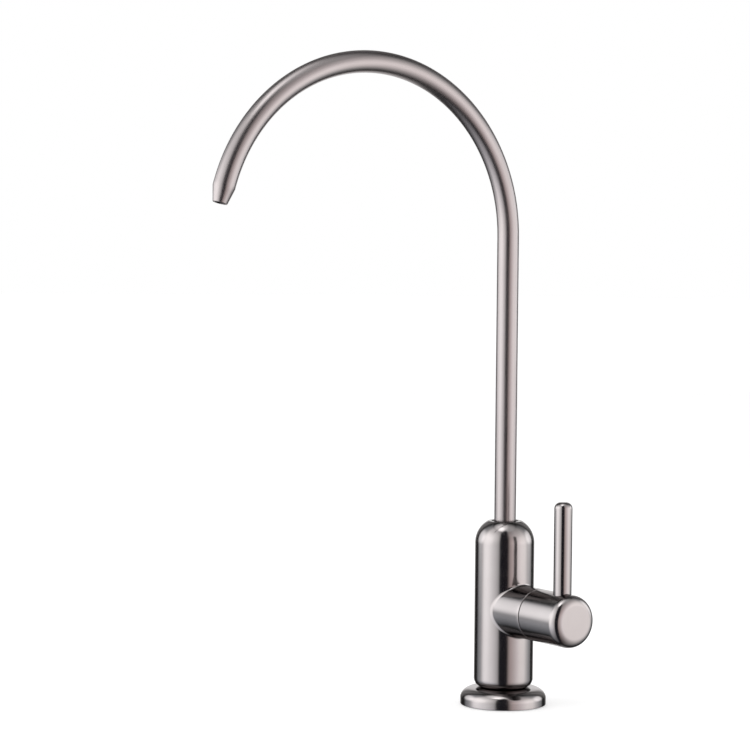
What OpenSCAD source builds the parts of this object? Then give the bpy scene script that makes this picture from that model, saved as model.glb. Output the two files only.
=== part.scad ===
// Drinking water filter tap: a gooseneck spout that swivels on an upright body, and a side lever that
// turns a ceramic quarter-turn valve. The origin is on the worktop under the centre of the base,
// +Z is up, the spout reaches along -Y and the handle along +X.

/* [Body] */
// Diameter of the upright body
body_d = 30; // [28:0.5:36]
// Height of the dome's crown above the worktop, as if the dome were whole
body_top = 95.3; // [92:0.1:110]
// Radius of the domed shoulder at the top of the body
dome_round = 12.8; // [9:0.1:13.5]
// Height turned off the crown for the flat round the spout
crown_cut = 1.7; // [1.5:0.1:3]
// Radius of the rounded foot of the body
foot_round = 4.6; // [2:0.1:6]
// Diameter of the hole that the spout turns in
socket_d = 13.4; // [12.8:0.1:15]
// Depth of that hole below the dome's crown
socket_depth = 29.3; // [28:0.1:32]
// Bevel on the rim of that hole
rim_bevel = 0.3; // [0.2:0.1:1]

/* [Base flange] */
// Largest diameter of the base flange
flange_d = 43.9; // [42:0.1:56]
// Height of the flange's top above the worktop
flange_h = 8.9; // [8:0.1:12]
// Radius of the flange's rounded rim
flange_round = 6.3; // [4:0.1:7]
// Thickness of the flange's web, which the body stands on
flange_web = 3.5; // [2:0.1:4.5]
// Gap that the gasket leaves under the flange's edge
flange_lift = 0.3; // [0.1:0.1:1]
// Radial width of the gasket
gasket_w = 5.5; // [3:0.1:6]
// Thickness of the gasket
gasket_t = 1.8; // [1:0.1:3]
// Outer diameter of the gasket
gasket_d = 38; // [36:0.5:40]

/* [Spout] */
// Outer diameter of the spout tube
tube_d = 10.9; // [10:0.1:12]
// Wall of the spout tube
tube_wall = 1; // [0.6:0.1:1.4]
// Height where the bend starts
bend_start = 237.1; // [160:0.1:300]
// Radius of the bend at the middle of the tube
bend_r = 84.8; // [50:0.1:120]
// Angle that the bend turns through
bend_sweep = 164; // [120:1:180]
// Length of the narrowed nose at the outlet
nose_len = 7.8; // [4:0.1:15]
// Outer diameter of the nose's end
nose_d = 7.1; // [5:0.1:9]
// Height of the stem that seals the spout in the body
stem_h = 17; // [16:0.1:18]
// Length of the stem's spigot inside the tube
spigot_len = 8; // [4:0.1:12]
// Diameter of the waterway through the stem
stem_bore_d = 6; // [4:0.1:7]
// How far the bush's top lies below the flat round the spout
bush_drop = 0.2; // [0.1:0.1:3]

/* [Branch and handle] */
// Diameter of the side branch and of the handle's hub
branch_d = 26.2; // [25:0.1:27.5]
// Height of the branch's axis
branch_z = 49.1; // [47:0.1:51]
// Reach of the fixed branch from the tap's axis
branch_end = 29.3; // [28:0.1:34]
// Seam between the branch and the hub
handle_gap = 0.35; // [0.2:0.05:0.6]
// Reach of the hub's end face from the tap's axis
hub_end = 59; // [56:0.1:66]
// Radius of the edge of that face
hub_round = 5; // [0.5:0.1:6]
// Wall of the hub round its hollow
hub_wall = 2.3; // [1.5:0.1:3]
// Diameter of the lever
lever_d = 9; // [7:0.1:10]
// Distance from the lever's axis to the hub's end face
lever_inset = 11; // [6:0.1:12]
// Height of the lever's tip above the branch's axis
lever_top = 58.4; // [35:0.1:90]
// Radius of the edge of the lever's tip
lever_round = 3.2; // [0.5:0.1:3.4]
// Diameter of the stud that holds the lever in the hub
lever_stud_d = 6; // [4:0.1:6.5]
// Diameter of the handle's grub screw
grub_d = 5; // [3:0.1:6]
// Length of the grub screw
grub_len = 6; // [4:0.1:8]

/* [Valve] */
// Wall of the branch round the valve chamber
branch_wall = 3.1; // [2.6:0.1:3.6]
// Distance of the valve seat from the tap's axis
seat_x = 6; // [5:0.1:7]
// Diameter of the inlet port in the seat
seat_port_d = 7; // [6:0.1:8]
// Diameter of the drilling that feeds the port
inlet_bore_d = 5.5; // [4:0.1:6]
// Diameter of the drilling from the valve chamber to the spout
outlet_bore_d = 4.4; // [3:0.1:5]
// Thickness of the seat seal
seal_t = 2.2; // [1.6:0.1:2.6]
// Thickness of the fixed disc
fixed_disc_t = 2.5; // [2:0.1:3]
// Thickness of the turning disc
moving_disc_t = 3.2; // [2.6:0.1:3.6]
// Depth of the slot that drives the turning disc
drive_slot_depth = 1; // [0.6:0.1:1.6]
// Width of the spindle's drive bar
drive_bar_w = 4.6; // [3:0.1:5]
// Diameter of the spindle
spindle_d = 7.9; // [7:0.1:8.4]
// Side of the spindle's square end
square_side = 5.5; // [4.6:0.1:5.7]
// Length of the square end
square_len = 11; // [8:0.1:13]
// Length of the headpart's hexagon
hex_len = 5.1; // [4:0.1:6]
// Quarter turn of the handle, in degrees
handle_turn = 90; // [60:1:110]
// Width of the stop tab, in degrees
stop_tab = 36; // [24:1:50]

/* [Under the worktop] */
// Thickness of the worktop that the tap is clamped to
deck_t = 20; // [4:1:28]
// Diameter of the threaded shank
shank_d = 11.1; // [10:0.1:12]
// Reach of the shank below the worktop's top face
shank_reach = 52; // [48:1:70]
// Diameter of the waterway through the shank
shank_bore_d = 6; // [4:0.1:7]
// Diameter of the spigot that centres the tap in the worktop's hole
spigot_d = 12.2; // [11.6:0.1:13]
// Depth of that spigot below the worktop's top face
spigot_depth = 3; // [2:0.1:4]
// Diameter of the shank's head, which screws into the body
shank_head_d = 14; // [13:0.1:15]
// Height of the shank's head inside the body
shank_head_h = 12; // [9:0.1:14]
// Size across the corners of the shank's collar
collar_d = 20.6; // [19:0.1:21.5]
// Outer diameter of the washers under the worktop
washer_d = 26; // [22:0.5:34]
// Thickness of the rubber washer
rubber_washer_t = 2; // [1:0.1:4]
// Thickness of the steel washer
steel_washer_t = 1.2; // [0.8:0.1:2]
// Thickness of the toothed lock washer
lock_washer_t = 0.9; // [0.6:0.1:1.4]
// Number of teeth on the lock washer
lock_teeth = 10; // [6:1:14]
// Size across the flats of the clamp nut
nut_af = 17.5; // [16:0.1:20]
// Height of the clamp nut
nut_h = 6.5; // [5:0.1:9]

/* [Inlet connector] */
// Outer diameter of the push-in connector
connector_d = 18; // [17:0.1:22]
// Length of thread that the connector takes
connector_thread = 12; // [9:0.1:14]
// Diameter of the supply tube's socket
inlet_d = 6.5; // [6:0.05:7]
// Length of that socket
inlet_len = 10; // [8:0.1:14]
// Length of the collet's sleeve inside the connector
collet_len = 5.5; // [4:0.1:7]
// Travel of the collet when it is pushed in
collet_travel = 1.5; // [1:0.1:2]
// Thickness of the collet's flange
collet_flange_t = 1.4; // [1:0.1:2]

/* [Hidden] */
$fn = 96;

// Clearances
run_fit = 0.06;      // radial, between turning pieces
still_fit = 0.05;    // radial, between pieces that don't move on each other
face_fit = 0.03;     // between flat faces that turn on each other
stop_slack = 2;      // degrees beyond each end of the handle's turn
end_room = 0.5;      // free space at the end of a blind hole
trim_room = 0.3;     // free space round small pieces
cut = 1;             // overrun of a cut past an open face

// Colours
satin_steel = [0.80, 0.76, 0.75];
polished_steel = [0.84, 0.80, 0.79];
brass = [0.80, 0.65, 0.32];
rubber = [0.10, 0.10, 0.11];
ceramic = [0.93, 0.92, 0.89];
acetal = [0.16, 0.16, 0.17];
ptfe = [0.92, 0.93, 0.94];
spring_steel = [0.55, 0.56, 0.58];

// Body and spout socket
body_r = body_d / 2;
socket_r = socket_d / 2;
socket_floor = body_top - socket_depth;
flat_z = body_top - crown_cut;
bush_top = flat_z - bush_drop;
stem_lift = 1;                               // of the stem above the socket's floor
stem_bottom = socket_floor + stem_lift;
stem_top = stem_bottom + stem_h;
stem_r = socket_r - run_fit;
tube_r = tube_d / 2;
tube_bore_r = tube_r - tube_wall;
nose_step = 0.03;                            // crease where the nose starts to narrow
nose_lap = 0.05;                             // overlap of the nose with the bend
seal_section = 1;                            // radius of the spout's O-ring section
seal_groove_r = stem_r - 2 * seal_section - still_fit;
seal_heights = [3, 7.5];                     // of the O-rings above the stem's bottom
ring_height = 12;                            // of the retaining ring above the stem's bottom
ring_t = 1.4;
ring_depth = 1;                              // bite of the retaining ring into the body and the stem

// Branch, hub and valve chamber
branch_r = branch_d / 2;
chamber_r = branch_r - branch_wall;
head_flange_lip = 1.2;                       // overhang of the headpart's flange past the chamber
head_flange_r = chamber_r + head_flange_lip;
head_flange_t = 1.9;
head_recess = 2.3;                           // depth of the flange's recess in the branch
head_flange_x = branch_end - head_recess;
hub_start = branch_end + handle_gap;
seam_round = 0.2;                            // edge of the hub at the seam, and of the lever's foot
hub_hollow_r = branch_r - hub_wall;
lever_x = hub_end - lever_inset;
lever_r = lever_d / 2;
lever_sink = 1.6;                            // depth of the spot face that the lever stands on
lever_seat = branch_r - lever_sink;
stud_wall = 1.5;                             // hub wall between the stud's hole and the square hole
stud_end = square_side / sqrt(2) + stud_wall;
annulus = 1.1;                               // waterway round the skirt of the headpart
skirt_r = chamber_r - annulus;
skirt_wall = 0.9;
disc_r = skirt_r - skirt_wall - run_fit;
port_in_r = 2;
port_rim = 1.6;                              // disc wall outside the ports
port_out_r = disc_r - port_rim;
port_angle = 80;
seal_lip = 0.6;                              // of the seat seal round the inlet port

// Stations along the branch, from the tap's axis
fixed_disc_x = seat_x + seal_t;
moving_disc_x = fixed_disc_x + fixed_disc_t + face_fit;
bar_x = moving_disc_x + moving_disc_t - drive_slot_depth;
bar_t = 2.5;
thrust_x = bar_x + bar_t + face_fit;
thrust_t = 1;
shoulder_x = thrust_x + thrust_t + face_fit;
hex_x = head_flange_x + head_flange_t;
head_end = hex_x + hex_len;
hex_room = 1;                                // between the hexagon's corners and the hub's hollow
hex_r = hub_hollow_r - hex_room;
limit_t = 1.8;
limit_pocket = 1.6;                          // depth of the stop pocket in the headpart's end
limit_ring_r = 5.6;
limit_wall = 0.9;                            // of the hexagon outside the stop pocket
limit_tab_r = hex_r * cos(30) - limit_wall;
clip_x = head_end - limit_pocket + face_fit + limit_t + face_fit;
clip_t = 0.9;
clip_r = 5.6;
clip_groove = 0.8;                           // depth of the clip's groove in the spindle
hollow_room = 1.5;                           // between the clip and the end of the hub's hollow
hollow_end = clip_x + clip_t + hollow_room;
square_shift = 2;                            // of the square end's middle inwards from the lever
square_x = lever_x - square_len / 2 - square_shift;
spindle_r = spindle_d / 2;
clip_groove_r = spindle_r - clip_groove;
spindle_seal_section = 0.75;
spindle_seal_steps = [3, 6.5];               // of the spindle's O-rings from the shoulder
head_seal_section = 0.9;
head_seal_step = 2.6;                        // of the headpart's O-ring from its flange
head_seal_x = head_flange_x - head_seal_step;
flat_depth = 0.7;                            // of the spindle's flat that keys the limit ring

// Base and shank
flange_r = flange_d / 2;
flange_equator = flange_h - flange_round;
collar_top = flange_h - flange_web;
collar_sink = 0.2;                           // of the collar's underside below the gasket's top
collar_bottom = gasket_t - collar_sink;
wrench_room = 1;                             // round the collar's corners
collar_room_r = collar_d / 2 + wrench_room;
shank_r = shank_d / 2;
shank_head_r = shank_head_d / 2;
shank_top = flange_h + shank_head_h;
shank_seal_section = 0.7;
shank_seal_step = 2.5;                       // of the shank's O-ring below its top
shank_seal_z = shank_top - shank_seal_step;
inlet_bore_r = inlet_bore_d / 2;

// Stack under the worktop, downwards from the worktop's lower face
rubber_z = -deck_t - rubber_washer_t;
steel_z = rubber_z - steel_washer_t;
lock_z = steel_z - lock_washer_t;
nut_z = lock_z - nut_h;
washer_hole_r = shank_r + trim_room;
nut_bore_r = shank_r + still_fit;

// Inlet connector, downwards from the shank's end
connector_top = -shank_reach + connector_thread;
sealing_washer_t = 1.2;
connector_floor = -shank_reach - sealing_washer_t;
connector_web = 2.2;
inlet_r = inlet_d / 2;
inlet_top = connector_floor - connector_web;
inlet_bottom = inlet_top - inlet_len;
tube_seal_section = 1;
tube_seal_h = 2 * (tube_seal_section + end_room / 2);
tube_seal_r = inlet_r + still_fit + tube_seal_section;
collet_ease = 0.2;                           // radial, of the collet round the tube's socket
collet_wall = 1.3;
collet_bore_r = inlet_r + collet_ease;
collet_r = collet_bore_r + collet_wall;
collet_room_r = collet_r + run_fit;
collet_top = inlet_bottom - tube_seal_h - collet_travel - still_fit;
connector_bottom = collet_top - collet_len;
collet_flange_top = connector_bottom - collet_travel - still_fit;
collet_lip = 1.8;                            // of the collet's flange past its sleeve
collet_flange_r = collet_r + collet_lip;

// Shared shapes

module ring(r_out, r_in, h) {
    difference() {
        cylinder(r = r_out, h = h);
        translate([0, 0, -cut]) cylinder(r = r_in, h = h + 2 * cut);
    }
}

module o_ring(middle_r, section_r) {
    rotate_extrude() translate([middle_r, 0]) circle(r = section_r, $fn = 48);
}

// A sector of the plane from angle a0 to a1, at most 180 degrees, out to radius r
module wedge(r, a0, a1) {
    reach = r / cos((a1 - a0) / 4);
    mid = (a0 + a1) / 2;
    polygon([[0, 0], reach * [cos(a0), sin(a0)], reach * [cos(mid), sin(mid)] * 1.2,
        reach * [cos(a1), sin(a1)]]);
}

module ring_sector(r_out, r_in, a0, a1) {
    intersection() {
        difference() {
            circle(r = r_out);
            circle(r = r_in);
        }
        wedge(2 * r_out, a0, a1);
    }
}

// Turns a piece drawn along +Z so that it lies along the branch, at distance x from the tap's axis
module on_branch(x) {
    translate([x, 0, branch_z]) rotate([0, 90, 0]) children();
}

// Hexagon with its corners turned off at one or both ends
module hexagon(corner_r, h) {
    bevel = corner_r * (1 - cos(30));
    intersection() {
        cylinder(r = corner_r, h = h, $fn = 6);
        rotate_extrude() polygon([[0, 0], [corner_r - bevel, 0], [corner_r, bevel * tan(30)],
            [corner_r, h - bevel * tan(30)], [corner_r - bevel, h], [0, h]]);
    }
}

// Half outline of a turned rod: radius r, from z0 to z1, with the lower and upper edges rounded
module rod_outline(r, z0, z1, low, high) {
    translate([0, z0 + low]) square([r, z1 - z0 - low - high]);
    translate([0, z0]) square([r - low, 2 * low]);
    translate([0, z1 - 2 * high]) square([r - high, 2 * high]);
    translate([r - low, z0 + low]) circle(r = low);
    translate([r - high, z1 - high]) circle(r = high);
}

// Fixed pieces

module body() {
    color(polished_steel) difference() {
        rotate_extrude() intersection() {
            rod_outline(body_r, flange_h, body_top, foot_round, dome_round);
            translate([0, flange_h]) square([body_r, flat_z - flange_h]);
        }
        spout_socket();
        // Valve chamber, inlet port in its floor, and the drilling that feeds the port
        on_branch(seat_x) cylinder(r = chamber_r, h = body_r);
        on_branch(-inlet_bore_r) cylinder(r = seat_port_d / 2, h = seat_x + 2 * inlet_bore_r);
        translate([0, 0, shank_top]) cylinder(r = inlet_bore_r, h = branch_z - shank_top);
        outlet_drilling();
        // Threaded hole for the shank's head
        translate([0, 0, flange_h - cut])
            cylinder(r = shank_head_r + still_fit, h = shank_head_h + cut + end_room);
    }
}

module spout_socket() {
    translate([0, 0, socket_floor]) cylinder(r = socket_r, h = socket_depth + cut);
    translate([0, 0, stem_bottom + ring_height - still_fit])
        cylinder(r = socket_r + ring_depth, h = ring_t + 2 * still_fit);
    translate([0, 0, flat_z - rim_bevel])
        cylinder(r1 = socket_r, r2 = socket_r + 2 * rim_bevel, h = 2 * rim_bevel);
}

// Slanted drilling from the valve chamber up to the floor of the spout socket
module outlet_drilling() {
    high = [socket_r / 2, socket_floor + end_room];
    low = [seat_x + 0.8 * outlet_bore_d, branch_z + chamber_r - outlet_bore_d / 3];
    run = low - high;
    translate([high.x, 0, high.y]) rotate([0, 180 - atan2(run.x, -run.y), 0])
        cylinder(r = outlet_bore_d / 2, h = norm(run));
}

module valve_branch() {
    color(polished_steel) difference() {
        on_branch(0) cylinder(r = branch_r, h = branch_end);
        cylinder(r = body_r + still_fit, h = body_top);
        on_branch(0) cylinder(r = chamber_r, h = branch_end + cut);
        on_branch(head_flange_x) cylinder(r = head_flange_r + still_fit, h = branch_end);
    }
}

module base_flange() {
    color(polished_steel) difference() {
        rotate_extrude() intersection() {
            union() {
                square([flange_r - flange_round, flange_h]);
                translate([flange_r - flange_round, flange_equator]) circle(r = flange_round);
            }
            translate([0, flange_lift]) square([flange_r, flange_h - flange_lift]);
        }
        cylinder(r = shank_head_r + still_fit, h = flange_h + cut);
        cylinder(r = collar_room_r, h = collar_top);
        ring(gasket_d / 2 + still_fit, gasket_d / 2 - gasket_w - still_fit, gasket_t);
    }
}

module base_gasket() {
    color(rubber) ring(gasket_d / 2, gasket_d / 2 - gasket_w, gasket_t);
}

module threaded_shank() {
    color(brass) difference() {
        union() {
            translate([0, 0, collar_bottom]) hexagon(collar_d / 2, collar_top - collar_bottom);
            translate([0, 0, collar_bottom]) cylinder(r = shank_head_r, h = shank_top - collar_bottom);
            translate([0, 0, -spigot_depth])
                cylinder(r = spigot_d / 2, h = collar_bottom + spigot_depth + cut);
            translate([0, 0, -shank_reach]) cylinder(r = shank_r, h = shank_reach);
        }
        translate([0, 0, -shank_reach - cut])
            cylinder(r = shank_bore_d / 2, h = shank_reach + shank_top + 2 * cut);
        translate([0, 0, shank_seal_z - shank_seal_section])
            ring(shank_head_r + cut, shank_head_r - 2 * shank_seal_section, 2 * shank_seal_section);
    }
}

module shank_o_ring() {
    color(rubber) translate([0, 0, shank_seal_z])
        o_ring(shank_head_r - shank_seal_section + still_fit / 2, shank_seal_section - still_fit);
}

module deck_rubber_washer() {
    color(rubber) translate([0, 0, rubber_z]) ring(washer_d / 2, washer_hole_r, rubber_washer_t);
}

module deck_steel_washer() {
    color(spring_steel) translate([0, 0, steel_z]) ring(washer_d / 2, washer_hole_r, steel_washer_t);
}

// Flat ring with teeth round its outer edge
module lock_washer() {
    tooth_r = nut_af / 2 - trim_room;
    rim_r = (tooth_r + washer_hole_r) / 2;
    tooth = 180 / lock_teeth;
    color(spring_steel) translate([0, 0, lock_z]) linear_extrude(lock_washer_t) difference() {
        union() {
            circle(r = rim_r);
            for (i = [0 : lock_teeth - 1])
                intersection() {
                    circle(r = tooth_r);
                    wedge(2 * tooth_r, i * 2 * tooth, i * 2 * tooth + tooth);
                }
        }
        circle(r = washer_hole_r);
    }
}

module clamp_nut() {
    corner_r = nut_af / 2 / cos(30);
    color(brass) translate([0, 0, nut_z]) difference() {
        hexagon(corner_r, nut_h);
        translate([0, 0, -cut]) cylinder(r = nut_bore_r, h = nut_h + 2 * cut);
    }
}

module inlet_connector() {
    grip_r = connector_d / 2;
    grip_h = 0.8 * connector_thread;
    neck_step = 1.2;
    neck_r = grip_r - neck_step;
    orifice_r = shank_bore_d / 2 - seal_lip;
    color(acetal) translate([0, 0, connector_bottom]) difference() {
        union() {
            cylinder(r = neck_r, h = connector_top - connector_bottom);
            translate([0, 0, connector_top - connector_bottom - grip_h]) hexagon(grip_r / cos(30), grip_h);
        }
        translate([0, 0, connector_floor - connector_bottom])
            cylinder(r = shank_r + still_fit, h = connector_thread + sealing_washer_t + cut);
        cylinder(r = orifice_r, h = connector_floor - connector_bottom + cut);
        cylinder(r = inlet_r, h = inlet_top - connector_bottom);
        cylinder(r = tube_seal_r + tube_seal_section + still_fit, h = inlet_bottom - connector_bottom);
        translate([0, 0, -cut]) cylinder(r = collet_room_r, h = collet_len + collet_travel + cut);
    }
}

module connector_washer() {
    color(rubber) translate([0, 0, connector_floor])
        ring(shank_r - still_fit, shank_bore_d / 2, sealing_washer_t);
}

module tube_o_ring() {
    color(rubber) translate([0, 0, inlet_bottom - tube_seal_h / 2])
        o_ring(tube_seal_r, tube_seal_section);
}

// Split sleeve with a finger flange, which grips the supply tube
module release_collet() {
    slit_w = 0.9;
    slit_foot = 0.8;
    color(acetal) difference() {
        union() {
            translate([0, 0, collet_flange_top - collet_flange_t])
                cylinder(r = collet_flange_r, h = collet_flange_t);
            translate([0, 0, collet_flange_top - collet_flange_t])
                cylinder(r = collet_r, h = collet_top - collet_flange_top + collet_flange_t);
        }
        translate([0, 0, collet_flange_top - collet_flange_t - cut])
            cylinder(r = collet_bore_r, h = collet_top - collet_flange_top + collet_flange_t + 2 * cut);
        for (turn = [0, 90])
            rotate([0, 0, turn]) translate([-collet_r - cut, -slit_w / 2, connector_bottom + slit_foot])
                cube([2 * (collet_r + cut), slit_w, collet_len + cut]);
    }
}

module seat_seal() {
    color(rubber) on_branch(seat_x) ring(disc_r, seat_port_d / 2 + seal_lip, seal_t);
}

module disc_ports() {
    for (side = [0, 180])
        ring_sector(port_out_r, port_in_r, side - port_angle / 2, side + port_angle / 2);
}

module fixed_disc() {
    color(ceramic) on_branch(fixed_disc_x) rotate([0, 0, 90]) linear_extrude(fixed_disc_t) difference() {
        circle(r = disc_r);
        disc_ports();
    }
}

// Headpart: skirt round the discs, threaded neck, flange and hexagon with the stop pocket in its end
module cartridge_body() {
    skirt_x = seat_x + end_room;
    window_x = moving_disc_x + moving_disc_t - trim_room;
    window_len = shoulder_x - window_x;
    window_w = 7;
    color(brass) difference() {
        union() {
            on_branch(skirt_x) cylinder(r = skirt_r, h = shoulder_x - skirt_x + cut);
            on_branch(shoulder_x) cylinder(r = chamber_r - still_fit, h = hex_x - shoulder_x);
            on_branch(head_flange_x) cylinder(r = head_flange_r, h = head_flange_t);
            on_branch(hex_x - cut) hexagon(hex_r, hex_len + cut);
        }
        on_branch(skirt_x - cut) cylinder(r = disc_r + run_fit, h = shoulder_x - skirt_x + cut);
        on_branch(skirt_x) cylinder(r = spindle_r + run_fit, h = head_end);
        for (turn = [0, 90])
            on_branch(window_x) rotate([0, 0, turn]) translate([-chamber_r, -window_w / 2, 0])
                cube([2 * chamber_r, window_w, window_len]);
        on_branch(head_seal_x - head_seal_section)
            ring(chamber_r + cut, chamber_r - 2 * head_seal_section - still_fit, 2 * head_seal_section);
        on_branch(head_end - limit_pocket) {
            cylinder(r = limit_ring_r + trim_room, h = limit_pocket + cut);
            linear_extrude(limit_pocket + cut) ring_sector(limit_tab_r + trim_room, spindle_r,
                180 - stop_tab / 2 - stop_slack, 180 + handle_turn + stop_tab / 2 + stop_slack);
        }
    }
}

module cartridge_o_ring() {
    color(rubber) on_branch(head_seal_x)
        o_ring(chamber_r - head_seal_section - still_fit / 2, head_seal_section - still_fit / 2);
}

module thrust_washer() {
    color(ptfe) on_branch(thrust_x) ring(disc_r - skirt_wall, spindle_r + run_fit, thrust_t);
}

module spout_bush() {
    color(acetal) translate([0, 0, stem_top + face_fit])
        ring(socket_r - still_fit, tube_r + run_fit, bush_top - stem_top - face_fit);
}

// Pieces that turn with the spout

module spout_tube() {
    nose_bore_r = nose_d / 2 - tube_wall;
    color(satin_steel) difference() {
        union() {
            translate([0, 0, stem_top]) cylinder(r = tube_r, h = bend_start - stem_top);
            bend(tube_r);
            nose() cylinder(r1 = tube_r - nose_step, r2 = nose_d / 2, h = nose_len + nose_lap);
        }
        translate([0, 0, stem_top - cut]) cylinder(r = tube_bore_r, h = bend_start - stem_top + cut);
        bend(tube_bore_r);
        nose() cylinder(r1 = tube_bore_r - nose_step, r2 = nose_bore_r, h = nose_len + nose_lap);
        nose() cylinder(r = nose_bore_r, h = nose_len + nose_lap + cut);
    }
}

// Bend from the riser over to the front, in the plane of the spout
module bend(r) {
    translate([0, -bend_r, bend_start]) rotate([90, 0, 90])
        rotate_extrude(angle = bend_sweep) translate([bend_r, 0]) circle(r = r);
}

// Places its child just inside the end of the bend, with +Z along the flow
module nose() {
    translate([0, -bend_r, bend_start]) rotate([bend_sweep, 0, 0])
        translate([0, bend_r, -nose_lap]) children();
}

module spout_stem() {
    color(brass) translate([0, 0, stem_bottom]) difference() {
        union() {
            cylinder(r = stem_r, h = stem_h);
            cylinder(r = tube_bore_r - still_fit, h = stem_h + spigot_len);
        }
        translate([0, 0, -cut]) cylinder(r = stem_bore_d / 2, h = stem_h + spigot_len + 2 * cut);
        for (height = seal_heights)
            translate([0, 0, height - seal_section]) ring(stem_r + cut, seal_groove_r, 2 * seal_section);
        translate([0, 0, ring_height]) ring(stem_r + cut, stem_r - ring_depth, ring_t);
    }
}

module spout_o_rings() {
    color(rubber) for (height = seal_heights)
        translate([0, 0, stem_bottom + height])
            o_ring(stem_r - seal_section, seal_section - still_fit / 2);
}

// Split spring ring that holds the stem down in the body
module spout_retaining_ring() {
    split = 40;
    ring_in = stem_r - ring_depth + still_fit;
    ring_out = socket_r + ring_depth - still_fit;
    color(spring_steel) translate([0, 0, stem_bottom + ring_height + still_fit / 2])
        linear_extrude(ring_t - still_fit) difference() {
            circle(r = ring_out);
            circle(r = ring_in);
            rotate([0, 0, 90]) wedge(2 * ring_out, -split / 2, split / 2);
        }
}

// Pieces that turn with the handle

module handle_hub() {
    color(polished_steel) difference() {
        on_branch(0) rotate_extrude() intersection() {
            rod_outline(branch_r, hub_start, hub_end, seam_round, hub_round);
            translate([0, hub_start]) square([branch_r, hub_end - hub_start]);
        }
        on_branch(hub_start - cut) cylinder(r = hub_hollow_r, h = hollow_end - hub_start + cut);
        on_branch(hub_start - cut) cylinder(r = spindle_r + still_fit, h = square_x - hub_start + cut);
        on_branch(square_x - cut) square_prism(square_side + 2 * still_fit, square_len + end_room + cut);
        // Spot face and threaded hole for the lever, and the grub screw's hole opposite
        translate([lever_x, 0, branch_z + lever_seat]) cylinder(r = lever_r + still_fit, h = branch_r);
        translate([lever_x, 0, branch_z + stud_end]) cylinder(r = lever_stud_d / 2 + still_fit, h = branch_r);
        translate([lever_x, 0, branch_z - branch_r - cut])
            cylinder(r = grub_d / 2 + still_fit, h = branch_r + cut);
    }
}

module square_prism(side, h) {
    translate([-side / 2, -side / 2, 0]) cube([side, side, h]);
}

module lever_rod() {
    color(polished_steel) translate([lever_x, 0, branch_z]) {
        rotate_extrude() intersection() {
            rod_outline(lever_r, lever_seat, lever_top, seam_round, lever_round);
            translate([0, lever_seat]) square([lever_r, lever_top - lever_seat]);
        }
        translate([0, 0, stud_end + trim_room])
            cylinder(r = lever_stud_d / 2, h = lever_seat - stud_end + cut);
    }
}

// Stem of the valve: drive bar, sealed journal with a keyed flat, and square end
module spindle() {
    color(brass) difference() {
        union() {
            on_branch(bar_x) intersection() {
                cylinder(r = disc_r - trim_room, h = bar_t);
                translate([-drive_bar_w / 2, -disc_r, 0]) cube([drive_bar_w, 2 * disc_r, bar_t]);
            }
            journal_x = bar_x + drive_slot_depth + face_fit;
            on_branch(journal_x) cylinder(r = spindle_r, h = square_x - journal_x);
            on_branch(square_x - cut) square_prism(square_side, square_len + cut);
        }
        for (step = spindle_seal_steps)
            on_branch(shoulder_x + step - spindle_seal_section)
                ring(spindle_r + cut, spindle_r - 2 * spindle_seal_section, 2 * spindle_seal_section);
        on_branch(clip_x) ring(spindle_r + cut, clip_groove_r, clip_t);
        on_branch(head_end - limit_pocket) translate([spindle_r - flat_depth, -spindle_r, 0])
            cube([spindle_r, 2 * spindle_r, limit_t + 2 * face_fit]);
    }
}

module moving_disc() {
    slot_w = drive_bar_w + 2 * still_fit;
    color(ceramic) on_branch(moving_disc_x) difference() {
        linear_extrude(moving_disc_t) difference() {
            circle(r = disc_r);
            disc_ports();
        }
        translate([-slot_w / 2, -disc_r - cut, moving_disc_t - drive_slot_depth])
            cube([slot_w, 2 * (disc_r + cut), drive_slot_depth + cut]);
    }
}

module spindle_o_rings() {
    color(rubber) for (step = spindle_seal_steps)
        on_branch(shoulder_x + step)
            o_ring(spindle_r - spindle_seal_section, spindle_seal_section - still_fit / 2);
}

// Ring keyed to the spindle, with the tab that meets the headpart's stops
module limit_ring() {
    color(spring_steel) on_branch(head_end - limit_pocket + face_fit) linear_extrude(limit_t) difference() {
        union() {
            circle(r = limit_ring_r);
            ring_sector(limit_tab_r, spindle_r, 180 - stop_tab / 2, 180 + stop_tab / 2);
        }
        difference() {
            circle(r = spindle_r + still_fit);
            translate([spindle_r - flat_depth + still_fit, -spindle_d]) square([spindle_d, 2 * spindle_d]);
        }
    }
}

module spindle_clip() {
    mouth = 70;
    color(spring_steel) on_branch(clip_x + face_fit) linear_extrude(clip_t - 2 * face_fit) difference() {
        circle(r = clip_r);
        circle(r = clip_groove_r + still_fit);
        wedge(2 * clip_r, -mouth / 2, mouth / 2);
    }
}

module handle_grub_screw() {
    socket_af = grub_d / 2;
    tip = square_side / 2 + still_fit;
    color(spring_steel) translate([lever_x, 0, branch_z - tip - grub_len]) difference() {
        cylinder(r = grub_d / 2, h = grub_len);
        translate([0, 0, -cut]) cylinder(r = socket_af / 2 / cos(30), h = grub_len / 2 + cut, $fn = 6);
    }
}

body();
valve_branch();
base_flange();
base_gasket();
threaded_shank();
shank_o_ring();
deck_rubber_washer();
deck_steel_washer();
lock_washer();
clamp_nut();
inlet_connector();
connector_washer();
tube_o_ring();
release_collet();
seat_seal();
fixed_disc();
cartridge_body();
cartridge_o_ring();
thrust_washer();
spout_bush();
spout_tube();
spout_stem();
spout_o_rings();
spout_retaining_ring();
handle_hub();
lever_rod();
spindle();
moving_disc();
spindle_o_rings();
limit_ring();
spindle_clip();
handle_grub_screw();
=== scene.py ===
import bpy
import bmesh
from math import radians, degrees, sin, cos, asin, tau, sqrt, atan2
from mathutils import Matrix, Vector


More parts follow.
